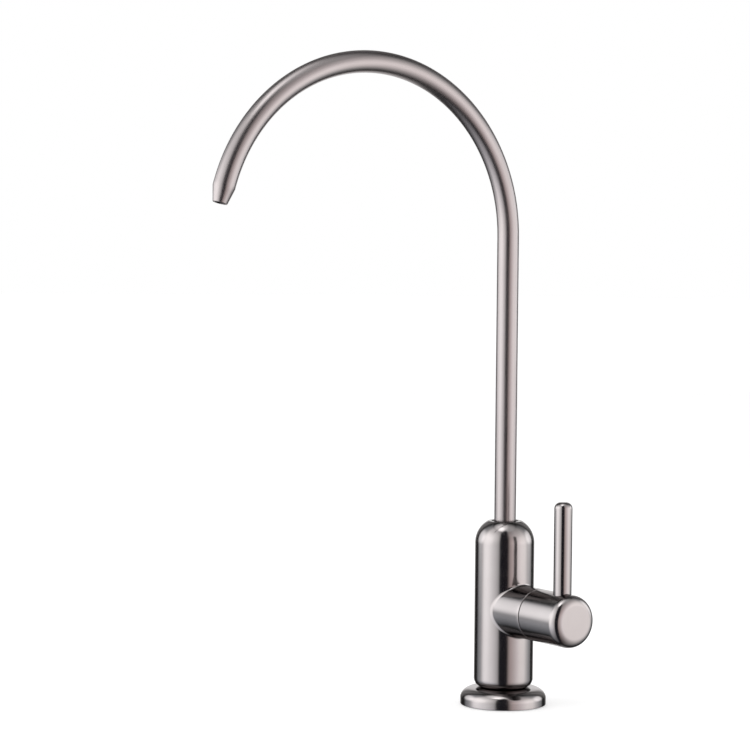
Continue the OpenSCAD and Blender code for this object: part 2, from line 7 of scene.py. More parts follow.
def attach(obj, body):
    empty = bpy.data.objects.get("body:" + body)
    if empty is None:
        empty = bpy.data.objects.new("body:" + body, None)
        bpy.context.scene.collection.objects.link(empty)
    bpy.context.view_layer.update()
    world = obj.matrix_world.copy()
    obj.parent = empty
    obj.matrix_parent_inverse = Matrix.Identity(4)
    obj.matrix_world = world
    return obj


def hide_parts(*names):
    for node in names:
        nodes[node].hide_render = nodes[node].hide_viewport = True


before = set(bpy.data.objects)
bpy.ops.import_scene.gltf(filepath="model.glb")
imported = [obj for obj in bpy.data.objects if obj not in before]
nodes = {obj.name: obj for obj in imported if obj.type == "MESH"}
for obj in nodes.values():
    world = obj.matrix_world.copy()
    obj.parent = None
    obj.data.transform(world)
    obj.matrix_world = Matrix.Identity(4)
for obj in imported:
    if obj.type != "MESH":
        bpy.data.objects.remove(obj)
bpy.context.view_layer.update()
scene = bpy.context.scene
mm = 0.001   # pieces are drawn in millimetres and made metres when they are finished


# shader helpers

noiseSpan = (0.3, 0.7)   # most of a noise's values lie between these


def newTree(name):
    mat = bpy.data.materials.new(name)
    mat.use_nodes = True
    mat.node_tree.nodes.clear()
    return mat, mat.node_tree


def newFinish(name, metallic=0.0, roughness=0.5):
    mat, tree = newTree(name)
    out = tree.nodes.new("ShaderNodeOutputMaterial")
    shader = tree.nodes.new("ShaderNodeBsdfPrincipled")
    shader.inputs["Metallic"].default_value = metallic
    shader.inputs["Roughness"].default_value = roughness
    tree.links.new(shader.outputs[0], out.inputs[0])
    return mat, tree, shader


def objectCoords(tree):
    return tree.nodes.new("ShaderNodeTexCoord").outputs["Object"]


def grain(tree, source, scale, detail=3.0, stretch=(1, 1, 1), rough=0.55):
    # a noise that can be stretched along one axis
    mapping = tree.nodes.new("ShaderNodeMapping")
    mapping.inputs["Scale"].default_value = stretch
    noise = tree.nodes.new("ShaderNodeTexNoise")
    noise.inputs["Scale"].default_value = scale
    noise.inputs["Detail"].default_value = detail
    noise.inputs["Roughness"].default_value = rough
    tree.links.new(source, mapping.inputs["Vector"])
    tree.links.new(mapping.outputs[0], noise.inputs["Vector"])
    return noise.outputs["Fac"]


def spread(tree, value, low, high, fromLow=noiseSpan[0], fromHigh=noiseSpan[1]):
    node = tree.nodes.new("ShaderNodeMapRange")
    node.inputs["From Min"].default_value = fromLow
    node.inputs["From Max"].default_value = fromHigh
    node.inputs["To Min"].default_value = low
    node.inputs["To Max"].default_value = high
    tree.links.new(value, node.inputs["Value"])
    return node.outputs[0]


def shades(tree, value, stops):
    ramp = tree.nodes.new("ShaderNodeValToRGB")
    while len(ramp.color_ramp.elements) < len(stops):
        ramp.color_ramp.elements.new(0.5)
    for stop, (place, colour) in zip(ramp.color_ramp.elements, stops):
        stop.position = place
        stop.color = (*colour, 1)
    tree.links.new(value, ramp.inputs[0])
    return ramp.outputs[0]


def tint(tree, shader, noise, dark, light):
    colour = shades(tree, noise, list(zip(noiseSpan, (dark, light))))
    tree.links.new(colour, shader.inputs["Base Color"])


def gloss(tree, shader, noise, low, high):
    tree.links.new(spread(tree, noise, low, high), shader.inputs["Roughness"])


def relief(tree, shader, height, strength, distance):
    bump = tree.nodes.new("ShaderNodeBump")
    bump.inputs["Strength"].default_value = strength
    bump.inputs["Distance"].default_value = distance
    tree.links.new(height, bump.inputs["Height"])
    tree.links.new(bump.outputs[0], shader.inputs["Normal"])


def fillSockets(tree, node, values):
    # a socket takes another socket by a link, and a plain value as it is
    for socket, value in zip(node.inputs, values):
        if isinstance(value, bpy.types.NodeSocket):
            tree.links.new(value, socket)
        else:
            socket.default_value = value


def mathNode(tree, kind, *values):
    node = tree.nodes.new("ShaderNodeMath")
    node.operation = kind
    fillSockets(tree, node, values)
    return node.outputs[0]


def vectorNode(tree, kind, *values):
    node = tree.nodes.new("ShaderNodeVectorMath")
    node.operation = kind
    fillSockets(tree, node, values)
    return node.outputs["Value" if kind == "DOT_PRODUCT" else "Vector"]


# finishes: noises are scale, detail, stretch and roughness, and relief is strength and depth

polish = {"dark": (0.670, 0.622, 0.619), "light": (0.704, 0.658, 0.655), "roughness": (0.12, 0.17),
          "clouds": (70, 4), "marks": (240, 5), "lines": (900, 3, (0.25, 0.25, 9)),
          "relief": (0.03, 0.00002)}
brushing = {"dark": (0.665, 0.608, 0.606), "light": (0.702, 0.645, 0.645), "roughness": (0.25, 0.34),
            "clouds": (60, 4, (1, 1, 0.5)), "lines": (2600, 4, (1, 1, 0.012), 0.65),
            "relief": (0.05, 0.00003)}
turning = {"clouds": (120, 5), "lines": (1400, 3, (0.2, 0.2, 6)), "brighter": 0.06, "duller": 0.08,
           "relief": (0.08, 0.00004)}
moulding = {"clouds": (150, 4), "skin": 2200, "skinStrength": 0.10, "skinDepth": 0.00005,
            "smoother": 0.05, "rougher": 0.07}


def polishedFinish():
    # warm steel-grey plating: faint cloudy handling marks and hair lines left by the buffing wheel
    mat, tree, shader = newFinish("polished_plating", metallic=1.0)
    where = objectCoords(tree)
    tint(tree, shader, grain(tree, where, *polish["clouds"]), polish["dark"], polish["light"])
    gloss(tree, shader, grain(tree, where, *polish["marks"]), *polish["roughness"])
    relief(tree, shader, grain(tree, where, *polish["lines"]), *polish["relief"])
    return mat


def satinFinish():
    # fine lengthwise brushing, which follows the bend of the tube
    mat, tree, shader = newFinish("satin_plating", metallic=1.0)
    tube = tree.nodes.new("ShaderNodeAttribute")
    tube.attribute_name = "straightened"
    where = tube.outputs["Vector"]
    tint(tree, shader, grain(tree, where, *brushing["clouds"]), brushing["dark"], brushing["light"])
    lines = grain(tree, where, *brushing["lines"])
    gloss(tree, shader, lines, *brushing["roughness"])
    relief(tree, shader, lines, *brushing["relief"])
    return mat


def turnedFinish(name, dark, light, roughness):
    # brass and spring steel under the worktop and inside the valve
    mat, tree, shader = newFinish(name, metallic=1.0)
    where = objectCoords(tree)
    tint(tree, shader, grain(tree, where, *turning["clouds"]), dark, light)
    lines = grain(tree, where, *turning["lines"])
    gloss(tree, shader, lines, roughness - turning["brighter"], roughness + turning["duller"])
    relief(tree, shader, lines, *turning["relief"])
    return mat


def mouldedFinish(name, dark, light, roughness, skin=moulding["skin"], strength=moulding["skinStrength"]):
    # rubber, plastics and ceramic: a slight mottle and a fine matt skin
    mat, tree, shader = newFinish(name)
    where = objectCoords(tree)
    tint(tree, shader, grain(tree, where, *moulding["clouds"]), dark, light)
    bumps = grain(tree, where, skin)
    gloss(tree, shader, bumps, roughness - moulding["smoother"], roughness + moulding["rougher"])
    relief(tree, shader, bumps, strength, moulding["skinDepth"])
    return mat


finishes = {
    "polished_steel": polishedFinish(),
    "satin_steel": satinFinish(),
    "brass": turnedFinish("turned_brass", (0.62, 0.42, 0.16), (0.74, 0.55, 0.25), 0.28),
    "spring_steel": turnedFinish("spring_steel", (0.42, 0.43, 0.45), (0.55, 0.56, 0.58), 0.34),
    "rubber": mouldedFinish("black_rubber", (0.014, 0.014, 0.015), (0.026, 0.026, 0.028), 0.70),
    "acetal": mouldedFinish("black_acetal", (0.018, 0.018, 0.020), (0.030, 0.030, 0.033), 0.42),
    "ptfe": mouldedFinish("white_ptfe", (0.80, 0.81, 0.82), (0.88, 0.88, 0.88), 0.48),
    "ceramic": mouldedFinish("lapped_ceramic", (0.83, 0.81, 0.77), (0.90, 0.88, 0.85), 0.18, 3000, 0.02),
}
print("finishes:", len(finishes))


# modelling helpers

weld = 0.0005      # vertices nearer than this are one
skinFacing = 0.2   # share of a face's normal along a hole, above which the hole cuts it


def vertsOf(geom):
    return [g for g in geom if isinstance(g, bmesh.types.BMVert)]


def edgesOf(geom):
    return [g for g in geom if isinstance(g, bmesh.types.BMEdge)]


def alongRing(ring):
    return list({v for e in ring for v in e.verts})


def nextRing(bm, ring):
    # extrudes a ring of edges where it is and gives the new ring
    made = bmesh.ops.extrude_edge_only(bm, edges=ring)["geom"]
    return [e for e in edgesOf(made) if e.is_boundary]


def wholeOf(verts):
    # some vertices with their edges and faces
    verts = list(verts)
    edges = {e for v in verts for e in v.link_edges}
    faces = {f for v in verts for f in v.link_faces}
    return verts + list(edges) + list(faces)


def runs(start, end, steps):
    return [start + (end - start) * (i + 1) / steps for i in range(steps)]


def drawOutline(bm, start, moves):
    # half outline in the XZ plane: (r, z) is a straight run, (r, z, sweep, steps) a round about that
    # centre, and (r, z, sweep, steps, squash) a round that is flattened in height
    tip = bm.verts.new((start[0], 0, start[1]))
    for move in moves:
        if len(move) == 2:
            tip = bmesh.ops.extrude_vert_indiv(bm, verts=[tip])["verts"][0]
            tip.co = (move[0], 0, move[1])
            continue
        r, z, sweep, steps, *squash = move
        known = set(bm.verts)
        turned = bmesh.ops.spin(bm, geom=[tip], cent=(r, 0, z), axis=(0, -1, 0), dvec=(0, 0, 0),
                                angle=radians(sweep), steps=steps, use_merge=False)
        tip = vertsOf(turned["geom_last"])[0]
        if squash:
            bmesh.ops.scale(bm, verts=[v for v in bm.verts if v not in known], vec=(1, 1, squash[0]),
                            space=Matrix.Translation((0, 0, -z)))


def turnOutline(bm, segments):
    bmesh.ops.spin(bm, geom=bm.verts[:] + bm.edges[:], cent=(0, 0, 0), axis=(0, 0, 1), dvec=(0, 0, 0),
                   angle=tau, steps=segments, use_merge=True)
    bmesh.ops.remove_doubles(bm, verts=bm.verts[:], dist=weld)
    bmesh.ops.recalc_face_normals(bm, faces=bm.faces[:])


def layOnBranch(bm):
    # turns a piece drawn upright so that it lies along the side branch
    lying = Matrix.Rotation(radians(90), 3, "Y")
    bmesh.ops.rotate(bm, verts=bm.verts[:], cent=(0, 0, 0), matrix=lying)
    bmesh.ops.translate(bm, verts=bm.verts[:], vec=(0, 0, branch["axisHeight"]))


def openRound(bm, centre, radius, along, isSkin, onSkin, floorAt):
    # a round hole along one axis through the skin, with its rim put back on the skin and a flat floor
    across = [i for i in range(3) if i != along]

    def off(co):
        return Vector((co[across[0]] - centre[0], co[across[1]] - centre[1]))

    def isOpened(face):
        middle = face.calc_center_median()
        isInside = off(middle).length < radius
        return isSkin(middle[along]) and isInside and abs(face.normal[along]) > skinFacing

    gone = [f for f in bm.faces if isOpened(f)]
    rim = {e for f in gone for e in f.edges if any(g not in gone for g in e.link_faces)}
    bmesh.ops.delete(bm, geom=gone, context="FACES")
    for v in alongRing(rim):
        d = off(v.co).normalized() * radius
        v.co[across[0]], v.co[across[1]] = centre[0] + d.x, centre[1] + d.y
        v.co[along] = onSkin(v.co)
    floor = nextRing(bm, list(rim))
    for v in alongRing(floor):
        v.co[along] = floorAt
    bmesh.ops.contextual_create(bm, geom=floor)


def finishPiece(name, bm, slot, body, stands, creaseAngle=32, recalc=True):
    if recalc:
        bmesh.ops.recalc_face_normals(bm, faces=bm.faces[:])
    bmesh.ops.scale(bm, verts=bm.verts[:], vec=(mm, mm, mm))
    mesh = bpy.data.meshes.new(name)
    bm.to_mesh(mesh)
    bm.free()
    mesh.polygons.foreach_set("use_smooth", [True] * len(mesh.polygons))
    mesh.set_sharp_from_angle(angle=radians(creaseAngle))
    piece = bpy.data.objects.new(name, mesh)
    scene.collection.objects.link(piece)
    mesh.materials.append(finishes[slot])
    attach(piece, body)
    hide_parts(*stands)
    return piece


# base flange

flange = {"radius": 21.8, "height": 8.9, "shoulder": (7.5, 5.6), "lift": 0.3, "edge": 0.25, "hole": 7.05,
          "web": 5.4, "collarRoom": 11.3, "gasketRoom": (13.4, 19.1, 1.85), "topRing": 12.0,
          "wallSteps": 3, "segments": 160}


def makeFlange():
    bm = bmesh.new()
    r, top, low, edge = (flange[k] for k in ("radius", "height", "lift", "edge"))
    hole, web, room = (flange[k] for k in ("hole", "web", "collarRoom"))
    wide, high = flange["shoulder"]
    groove, grooveEnd, grooveTop = flange["gasketRoom"]
    wall = [(r, z) for z in runs(low + edge, top - high, flange["wallSteps"])]
    drawOutline(bm, (hole, top),
                [(hole, web), (room, web), (room, low), (groove, low), (groove, grooveTop),
                 (grooveEnd, grooveTop), (grooveEnd, low), (r - edge, low), (r - edge, low + edge, 90, 6),
                 *wall, (r - wide, top - high, 90, 48, high / wide), (flange["topRing"], top), (hole, top)])
    turnOutline(bm, flange["segments"])
    return finishPiece("base_flange_turned", bm, "polished_steel", "tap", ["base_flange"])


# upright body with the spout socket and the opening of the valve chamber

body = {"radius": 15.0, "foot": 8.9, "footRound": 4.6, "crown": 95.3, "domeRound": 12.8, "flat": 93.6,
        "flatEdge": 0.25, "socket": 6.7, "lip": 0.25, "socketFloor": 66.0, "groove": (78.95, 80.45, 7.7),
        "headHole": (7.05, 21.4), "skinFrom": 7.0, "straightSteps": 60, "segments": 192}


def makeBody():
    bm = bmesh.new()
    r, foot, flat, edge = (body[k] for k in ("radius", "foot", "flat", "flatEdge"))
    footR, domeRound, socket = (body[k] for k in ("footRound", "domeRound", "socket"))
    domeR, domeZ = r - domeRound, body["crown"] - domeRound
    edgeZ = flat - edge
    edgeR = domeR + sqrt((domeRound - edge) ** 2 - (edgeZ - domeZ) ** 2)
    lean = degrees(atan2(edgeZ - domeZ, edgeR - domeR))   # where the dome runs into the edge of the flat
    lip, lipR = body["lip"], socket + body["lip"]
    holeR, holeTop = body["headHole"]
    low, high, deep = body["groove"]
    straight = [(r, z) for z in runs(foot + footR, domeZ, body["straightSteps"])]
    drawOutline(bm, (0, holeTop),
                [(holeR, holeTop), (holeR, foot), (r - footR, foot), (r - footR, foot + footR, 90, 24),
                 *straight, (domeR, domeZ, lean, 40), (edgeR, edgeZ, 90 - lean, 8), (lipR, flat),
                 (lipR, flat - lip, 90, 6), (socket, high), (deep, high), (deep, low), (socket, low),
                 (socket, body["socketFloor"]), (0, body["socketFloor"])])
    turnOutline(bm, body["segments"])
    openRound(bm, (0, branch["axisHeight"]), branch["chamber"], 0, lambda x: x > body["skinFrom"],
              lambda co: sqrt(r * r - co.y * co.y), branch["seat"])
    return finishPiece("body_turned", bm, "polished_steel", "tap", ["body"])


# side branch that holds the valve

branch = {"radius": 13.1, "axisHeight": 49.1, "end": 29.3, "chamber": 10.0, "seat": 6.0,
          "recess": (27.0, 11.25), "edge": 0.32, "saddle": 14.0, "sideFrom": 16.0, "sideSteps": 6,
          "seatGap": 0.05, "fillet": 1.2, "filletSteps": 8, "filletSink": 0.01, "segments": 192}


def makeBranch():
    bm = bmesh.new()
    r, end, edge, axis, chamber = (branch[k] for k in ("radius", "end", "edge", "axisHeight", "chamber"))
    recessAt, recessR = branch["recess"]
    side = [(r, x) for x in runs(end - edge, branch["sideFrom"], branch["sideSteps"])]
    drawOutline(bm, (chamber, branch["saddle"]),
                [(chamber, recessAt), (recessR, recessAt), (recessR, end), (r - edge, end),
                 (r - edge, end - edge, -90, 5), *side])
    turnOutline(bm, branch["segments"])
    layOnBranch(bm)
    rims = [e for e in bm.edges if e.is_boundary]
    between = (chamber + r) / 2
    inner = [e for e in rims if Vector((e.verts[0].co.y, e.verts[0].co.z - axis)).length < between]
    outer = [e for e in rims if e not in inner]
    for v in alongRing(inner):   # the chamber's end follows the wall of the body
        v.co.x = sqrt((body["radius"] + branch["seatGap"]) ** 2 - v.co.y ** 2)
    # each line of the fillet bends from the side by a corner to its foot on the body
    fillet, steps = branch["fillet"], branch["filletSteps"]
    bends = {}
    for v in alongRing(outer):
        reach = Vector((0, v.co.y, v.co.z - axis)).normalized() * (r + fillet)
        wall = sqrt(body["radius"] ** 2 - v.co.y ** 2)
        sunk = sqrt((body["radius"] - branch["filletSink"]) ** 2 - reach.y ** 2)
        start = Vector((wall + fillet, v.co.y, v.co.z))
        corner = Vector((wall, v.co.y, v.co.z))
        foot = Vector((sunk, reach.y, reach.z + axis))
        v.co = start
        bends[v] = (start, corner, foot)
    ring = outer
    for t in runs(0, 1, steps):
        before = {v: bends[v] for v in alongRing(ring)}
        ring = nextRing(bm, ring)
        for v in alongRing(ring):
            old = next(e.other_vert(v) for e in v.link_edges if e.other_vert(v) in before)
            bends[v] = before[old]
            start, corner, foot = bends[v]
            v.co = start * (1 - t) ** 2 + corner * 2 * t * (1 - t) + foot * t * t
    return finishPiece("valve_branch_filleted", bm, "polished_steel", "tap", ["valve_branch"], creaseAngle=40)


# handle

hub = {"start": 29.65, "end": 58.99, "seamEdge": 0.32, "endRound": 5.0, "endRings": (6, 3, 0),
       "hollow": (10.8, 38.75), "square": (4.0, 52.0), "skinFrom": 11.2, "leverAt": 48.0, "leverSeat": 11.5,
       "leverHole": 4.55, "grubHole": 2.55, "grubFloor": -5.0, "sideSteps": 44, "segments": 176}
lever = {"radius": 4.5, "top": 58.4, "topRing": 0.5, "tip": 3.2, "foot": 0.2, "stud": (3.0, 5.69),
         "sideSteps": 16, "segments": 112}


def makeHub():
    bm = bmesh.new()
    r, axis = branch["radius"], branch["axisHeight"]
    start, end, edge, endR = (hub[k] for k in ("start", "end", "seamEdge", "endRound"))
    hollowR, hollowEnd = hub["hollow"]
    squareR, squareEnd = hub["square"]
    side = [(r, x) for x in runs(start + edge, end - endR, hub["sideSteps"])]
    drawOutline(bm, (0, squareEnd),
                [(squareR, squareEnd), (squareR, hollowEnd), (hollowR, hollowEnd), (hollowR, start),
                 (r - edge, start), (r - edge, start + edge, 90, 6), *side, (r - endR, end - endR, 90, 32),
                 *[(ring, end) for ring in hub["endRings"]]])
    turnOutline(bm, hub["segments"])
    layOnBranch(bm)
    place, skin = (hub["leverAt"], 0), hub["skinFrom"]
    openRound(bm, place, hub["leverHole"], 2, lambda z: z > axis + skin,
              lambda co: axis + sqrt(r * r - co.y * co.y), axis + hub["leverSeat"])
    openRound(bm, place, hub["grubHole"], 2, lambda z: z < axis - skin,
              lambda co: axis - sqrt(r * r - co.y * co.y), axis + hub["grubFloor"])
    return finishPiece("handle_hub_turned", bm, "polished_steel", "handle", ["handle_hub"])


def makeLever():
    bm = bmesh.new()
    r, top, tip, foot = (lever[k] for k in ("radius", "top", "tip", "foot"))
    studR, studEnd = lever["stud"]
    seat = hub["leverSeat"]
    side = [(r, z) for z in runs(seat + foot, top - tip, lever["sideSteps"])]
    drawOutline(bm, (0, studEnd),
                [(studR, studEnd), (studR, seat), (r - foot, seat), (r - foot, seat + foot, 90, 5), *side,
                 (r - tip, top - tip, 90, 24), (lever["topRing"], top), (0, top)])
    turnOutline(bm, lever["segments"])
    bmesh.ops.translate(bm, verts=bm.verts[:], vec=(hub["leverAt"], 0, branch["axisHeight"]))
    return finishPiece("lever_rod_turned", bm, "polished_steel", "handle", ["lever_rod"])


# spout: riser, bend, tapered nose, and the bore back up inside

spout = {"radius": 5.44, "bore": 4.45, "foot": 84.0, "bendStart": 237.1, "bendRadius": 84.8, "sweep": 164.0,
         "noseLength": 7.75, "noseRadius": 3.55, "noseBore": 2.55, "noseEdge": 0.28, "noseLead": 0.2,
         "riserSteps": 30, "bendSteps": 150, "noseSteps": 4, "edgeSteps": 4, "boreSteps": 6,
         "riserReach": 1.2, "segments": 80}
bush = {"outer": 6.65, "inner": 5.51, "low": 84.03, "high": 93.39, "edge": 0.3, "segments": 96}


def pushRing(bm, ring, move, scale=1.0):
    # carries a ring of edges on by a move, and closes it in or opens it out
    ring = nextRing(bm, ring)
    verts = alongRing(ring)
    middle = sum((v.co for v in verts), Vector()) / len(verts)
    for v in verts:
        v.co = middle + (v.co - middle) * scale + Vector(move)
    return ring


def spinRing(bm, ring, sweep, steps):
    centre = (0, -spout["bendRadius"], spout["bendStart"])
    made = bmesh.ops.spin(bm, geom=alongRing(ring) + ring, cent=centre, axis=(1, 0, 0), dvec=(0, 0, 0),
                          angle=radians(sweep), steps=steps, use_merge=False)
    return edgesOf(made["geom_last"])


def pushNose(bm, ring, ahead):
    # tapers to the outlet, rolls its edge over and comes back inside to the bore
    r, nose, edge = (spout[k] for k in ("radius", "noseLength", "noseEdge"))
    bore, lead = spout["noseBore"], spout["noseLead"]
    slope = (r - spout["noseRadius"]) / nose
    stride = (nose - edge) / spout["noseSteps"]
    for i in range(spout["noseSteps"]):
        wide = r - slope * stride * i
        ring = pushRing(bm, ring, ahead * stride, (wide - slope * stride) / wide)
    wide = r - slope * (nose - edge)
    before = 0
    for turn in runs(0, radians(90), spout["edgeSteps"]):
        rolled = (wide - edge * (1 - cos(turn))) / (wide - edge * (1 - cos(before)))
        ring = pushRing(bm, ring, ahead * edge * (sin(turn) - sin(before)), rolled)
        before = turn
    ring = pushRing(bm, ring, (0, 0, 0), (bore + lead) / (wide - edge))
    ring = pushRing(bm, ring, -ahead * lead, bore / (bore + lead))
    return pushRing(bm, ring, -ahead * (nose - lead), spout["bore"] / bore)


def makeSpout():
    bm = bmesh.new()
    straightened = bm.verts.layers.float_vector.new("straightened")
    low, bendZ, bendR = (spout[k] for k in ("foot", "bendStart", "bendRadius"))
    turn = radians(spout["sweep"])
    ahead = Vector((0, -sin(turn), cos(turn)))   # direction of the flow at the end of the bend
    circle = bmesh.ops.create_circle(bm, cap_ends=False, segments=spout["segments"], radius=spout["radius"])
    bmesh.ops.translate(bm, verts=circle["verts"], vec=(0, 0, low))
    foot = ring = bm.edges[:]
    for i in range(spout["riserSteps"]):
        ring = pushRing(bm, ring, (0, 0, (bendZ - low) / spout["riserSteps"]))
    crease = spinRing(bm, ring, spout["sweep"], spout["bendSteps"])
    ring = pushNose(bm, crease, ahead)
    ring = spinRing(bm, ring, -spout["sweep"], spout["bendSteps"] // 2)
    for i in range(spout["boreSteps"]):
        ring = pushRing(bm, ring, (0, 0, (low - bendZ) / spout["boreSteps"]))
    bmesh.ops.bridge_loops(bm, edges=foot + ring)
    bmesh.ops.recalc_face_normals(bm, faces=bm.faces[:])
    for e in crease:
        e.smooth = False
    for v in bm.verts:   # where the vertex would be on a straight tube
        dy, dz = v.co.y + bendR, v.co.z - bendZ
        isBent = v.co.y < -spout["radius"] * spout["riserReach"] or dz > 0
        a = min(max(atan2(dz, dy), 0), turn) if isBent else 0
        out = sqrt(dy * dy + dz * dz) - bendR if a > 0 else v.co.y
        along = bendZ + bendR * a if a > 0 else v.co.z
        v[straightened] = Vector((v.co.x * mm, out * mm, along * mm))
    return finishPiece("spout_tube_bent", bm, "satin_steel", "spout", ["spout_tube"], recalc=False)


def makeBush():
    bm = bmesh.new()
    outer, inner, low, high, edge = (bush[k] for k in ("outer", "inner", "low", "high", "edge"))
    drawOutline(bm, (inner, low),
                [(outer, low), (outer, high - edge), (outer - edge, high - edge, 90, 5),
                 (inner + edge, high), (inner + edge, high - edge, 90, 5), (inner, low)])
    turnOutline(bm, bush["segments"])
    return finishPiece("spout_bush_moulded", bm, "acetal", "tap", ["spout_bush"])


# hexagons under the worktop, drawn as rings that are lofted together

hexagon = {"chamferSlope": 0.577, "cornerFlat": 0.02}   # thirty degrees turned off the corners


def hexagonRing(across, height, slope):
    # gives the radius and height of a hexagon's side by angle, with the corners turned away by the slope
    def place(angle):
        reach = across / 2 / cos(angle % radians(60) - radians(30))
        return reach, height + slope * (reach - across / 2 + hexagon["cornerFlat"])
    return place


def roundRing(radius, height):
    return lambda angle: (radius, height)


def hexagonSides(across, high, low):
    flat = across / 2 - hexagon["cornerFlat"]
    slope = hexagon["chamferSlope"]
    return [roundRing(flat, high), hexagonRing(across, high, -slope), hexagonRing(across, low, slope),
            roundRing(flat, low)]


def loftRings(bm, segments, places):
    # draws a ring on from place to place and joins the last to the first
    verts = bmesh.ops.create_circle(bm, cap_ends=False, segments=segments, radius=1)["verts"]
    first = ring = list({e for v in verts for e in v.link_edges})
    for number, place in enumerate(places):
        if number:
            ring = nextRing(bm, ring)
        for v in alongRing(ring):
            angle = atan2(v.co.y, v.co.x)
            reach, height = place(angle)
            v.co = (reach * cos(angle), reach * sin(angle), height)
    bmesh.ops.bridge_loops(bm, edges=first + ring)


# threaded shank with its hexagon collar

shank = {"core": [(3, 20.9), (6.6, 20.9), (7, 20.5), (7, 19.1), (5.6, 19.1), (5.6, 17.7), (7, 17.7), (7, 1.6),
                  (6.1, 1.6), (6.1, -2.7), (5.8, -3), (4.95, -3), (4.95, -51.3), (4.3, -52), (3.4, -52),
                  (3, -51.6), (3, 20.9)],
         "collar": (17.84, 5.4, 1.6), "collarRoot": 6.9, "threadRoot": (4.85, 0.43),
         "threadCrest": (5.54, 0.08), "threadLow": -51.3, "threadWeld": 0.001, "pitch": 1.06, "turns": 45,
         "turnSteps": 40, "segments": 96}


def windThread(bm):
    # one turn of a ridge wound up the shank, repeated turn upon turn
    core = set(bm.verts)
    rootR, rootHalf = shank["threadRoot"]
    crestR, crestHalf = shank["threadCrest"]
    corners = ((rootR, -rootHalf), (crestR, -crestHalf), (crestR, crestHalf), (rootR, rootHalf))
    ridge = [bm.verts.new((r, 0, shank["threadLow"] + z)) for r, z in corners]
    loop = bmesh.ops.contextual_create(bm, geom=ridge)["faces"][0]
    start = list(loop.edges)
    bmesh.ops.delete(bm, geom=[loop], context="FACES_ONLY")
    pitch, steps = shank["pitch"], shank["turnSteps"]
    bmesh.ops.spin(bm, geom=ridge + start, cent=(0, 0, 0), axis=(0, 0, 1), dvec=(0, 0, pitch / steps),
                   angle=tau, steps=steps, use_merge=False)
    turn = wholeOf(v for v in bm.verts if v not in core)
    for number in range(1, shank["turns"]):
        made = bmesh.ops.duplicate(bm, geom=turn)["geom"]
        bmesh.ops.translate(bm, verts=vertsOf(made), vec=(0, 0, pitch * number))
    thread = [v for v in bm.verts if v not in core]
    bmesh.ops.remove_doubles(bm, verts=thread, dist=shank["threadWeld"])
    bmesh.ops.holes_fill(bm, edges=[e for e in bm.edges if e.is_boundary], sides=4)


def makeShank():
    bm = bmesh.new()
    drawOutline(bm, shank["core"][0], shank["core"][1:])
    turnOutline(bm, shank["segments"])
    across, high, low = shank["collar"]
    root = shank["collarRoot"]
    sides = hexagonSides(across, high, low)
    loftRings(bm, shank["segments"], [roundRing(root, high), *sides, roundRing(root, low)])
    windThread(bm)
    return finishPiece("shank_threaded", bm, "brass", "tap", ["threaded_shank"])


# gasket and washers

rings = {
    "base_gasket": {"slot": "rubber", "inner": 13.5, "outer": 19.0, "low": 0.0, "high": 1.8, "edge": 0.3},
    "deck_rubber_washer": {"slot": "rubber", "inner": 5.85, "outer": 13.0, "low": -22.0, "high": -20.0,
                           "edge": 0.4},
    "deck_steel_washer": {"slot": "spring_steel", "inner": 5.85, "outer": 13.0, "low": -23.2, "high": -22.0,
                          "edge": 0.25}}
ringSegments = 128
lockWasher = {"inner": 5.85, "outer": 7.15, "middle": -23.65, "thick": 0.5, "edge": 0.1, "teeth": 10,
              "toothAt": 7.67, "tooth": (1.54, 2.2, 0.42), "toothEdge": 0.1, "twist": 10, "turned": 9,
              "segments": 100}


def ringOutline(bm, inner, outer, low, high, edge):
    drawOutline(bm, (inner + edge, low),
                [(outer - edge, low), (outer - edge, low + edge, 90, 5), (outer, high - edge),
                 (outer - edge, high - edge, 90, 5), (inner + edge, high), (inner + edge, high - edge, 90, 5),
                 (inner, low + edge), (inner + edge, low + edge, 90, 5)])


def makeRing(name):
    spec = rings[name]
    bm = bmesh.new()
    ringOutline(bm, *(spec[k] for k in ("inner", "outer", "low", "high", "edge")))
    turnOutline(bm, ringSegments)
    return finishPiece(name + "_rounded", bm, spec["slot"], "tap", [name])


def makeLockWasher():
    bm = bmesh.new()
    middle, half, count = lockWasher["middle"], lockWasher["thick"] / 2, lockWasher["teeth"]
    ringOutline(bm, lockWasher["inner"], lockWasher["outer"], middle - half, middle + half,
                lockWasher["edge"])
    turnOutline(bm, lockWasher["segments"])
    band = set(bm.verts)
    block = bmesh.ops.create_cube(bm, size=1)["verts"]
    bmesh.ops.scale(bm, verts=block, vec=lockWasher["tooth"])
    edges = list({e for v in block for e in v.link_edges})
    bmesh.ops.bevel(bm, geom=edges, offset=lockWasher["toothEdge"], segments=2, profile=0.5, affect="EDGES",
                    material=-1)
    tooth = [v for v in bm.verts if v not in band]
    twist = Matrix.Rotation(radians(lockWasher["twist"]), 3, "X")
    turn = Matrix.Rotation(radians(lockWasher["turned"]), 3, "Z")
    bmesh.ops.rotate(bm, verts=tooth, cent=(0, 0, 0), matrix=twist)
    bmesh.ops.translate(bm, verts=tooth, vec=(lockWasher["toothAt"], 0, middle))
    bmesh.ops.rotate(bm, verts=tooth, cent=(0, 0, 0), matrix=turn)
    bmesh.ops.spin(bm, geom=wholeOf(tooth), cent=(0, 0, 0), axis=(0, 0, 1), dvec=(0, 0, 0),
                   angle=tau * (count - 1) / count, steps=count - 1, use_duplicate=True)
    return finishPiece("lock_washer_toothed", bm, "spring_steel", "tap", ["lock_washer"])


# clamp nut and push-fit connector

